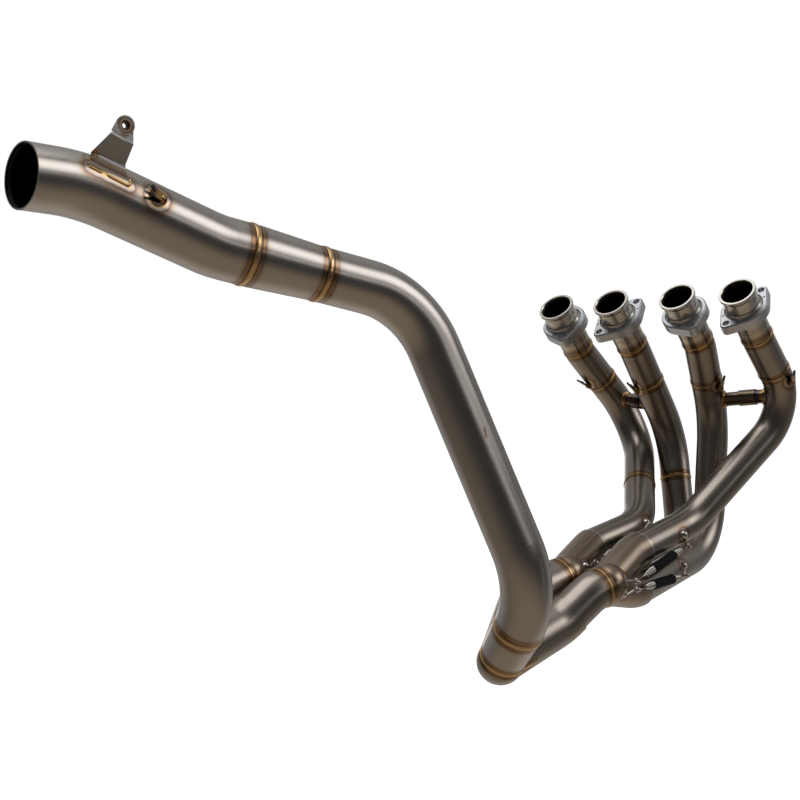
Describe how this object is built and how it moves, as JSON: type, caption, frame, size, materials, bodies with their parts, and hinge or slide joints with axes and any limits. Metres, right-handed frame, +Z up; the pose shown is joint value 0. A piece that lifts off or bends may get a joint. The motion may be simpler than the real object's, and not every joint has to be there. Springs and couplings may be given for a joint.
{
  "type": "motorcycle exhaust header",
  "caption": "Four-into-two-into-one motorcycle exhaust header in stainless steel tube, with turned port spigots, loose two-bolt head flanges, sprung slip joints, balance tubes and an outlet for a silencer.",
  "frame": {"origin": "centre of the mouth of spigot 1, on the port axis", "axes": "row +X forward, +Y to the rider's left, +Z up, as the header sits on the motorcycle; the port axes slope 55 degrees down from +X"},
  "size_m": [0.8918, 0.3594, 0.6275],
  "materials": {
    "tube_steel": "satin",
    "turned_steel": "machined",
    "flange_aluminium": "satin",
    "weld_steel": "heat tinted",
    "spring_steel": "bright",
    "spring_rubber": "satin",
    "sheet_steel": "satin"
  },
  "bodies": {
    "header": {"spigot_1": "turned_steel", "primary_upper_1": "tube_steel", "primary_main_1": "tube_steel", "spigot_2": "turned_steel", "primary_upper_2": "tube_steel", "primary_main_2": "tube_steel", "spigot_3": "turned_steel", "primary_upper_3": "tube_steel", "primary_main_3": "tube_steel", "spigot_4": "turned_steel", "primary_upper_4": "tube_steel", "primary_main_4": "tube_steel", "primary_lower_1": "tube_steel", "primary_lower_2": "tube_steel", "collector_12": "tube_steel", "secondary_12": "tube_steel", "balance_sleeve_12": "tube_steel", "spring_posts_12": "weld_steel", "collector_34": "tube_steel", "secondary_34": "tube_steel", "balance_sleeve_34": "tube_steel", "spring_posts_34": "weld_steel", "balance_stub_1": "tube_steel", "spring_1": "spring_steel", "spring_rubber_1": "spring_rubber", "cleat_1": "weld_steel", "balance_stub_2": "tube_steel", "spring_2": "spring_steel", "spring_rubber_2": "spring_rubber", "cleat_2": "weld_steel", "balance_stub_3": "tube_steel", "spring_3": "spring_steel", "spring_rubber_3": "spring_rubber", "cleat_3": "weld_steel", "balance_stub_4": "tube_steel", "spring_4": "spring_steel", "spring_rubber_4": "spring_rubber", "cleat_4": "weld_steel", "final_collector": "tube_steel", "link_stub": "tube_steel", "link_pipe": "tube_steel", "reducer": "tube_steel", "outlet_pipe": "tube_steel", "outlet_cleat": "weld_steel", "outlet_bracket": "sheet_steel", "bracket_nut": "turned_steel", "tab_bracket": "sheet_steel"},
    "flange_1": {"head_flange_1": "flange_aluminium"},
    "flange_2": {"head_flange_2": "flange_aluminium"},
    "flange_3": {"head_flange_3": "flange_aluminium"},
    "flange_4": {"head_flange_4": "flange_aluminium"}
  },
  "joints": [
    {"name": "flange_1_swivel", "type": "hinge", "parent": "header", "child": "flange_1", "pos_m": [0.01721, 0, -0.02457], "axis": [0.5736, 0, -0.8192], "continuous": true},
    {"name": "flange_2_swivel", "type": "hinge", "parent": "header", "child": "flange_2", "pos_m": [0.01721, -0.076, -0.02457], "axis": [0.5736, 0, -0.8192], "continuous": true},
    {"name": "flange_3_swivel", "type": "hinge", "parent": "header", "child": "flange_3", "pos_m": [0.01721, -0.164, -0.02457], "axis": [0.5736, 0, -0.8192], "continuous": true},
    {"name": "flange_4_swivel", "type": "hinge", "parent": "header", "child": "flange_4", "pos_m": [0.01721, -0.24, -0.02457], "axis": [0.5736, 0, -0.8192], "continuous": true}
  ]
}
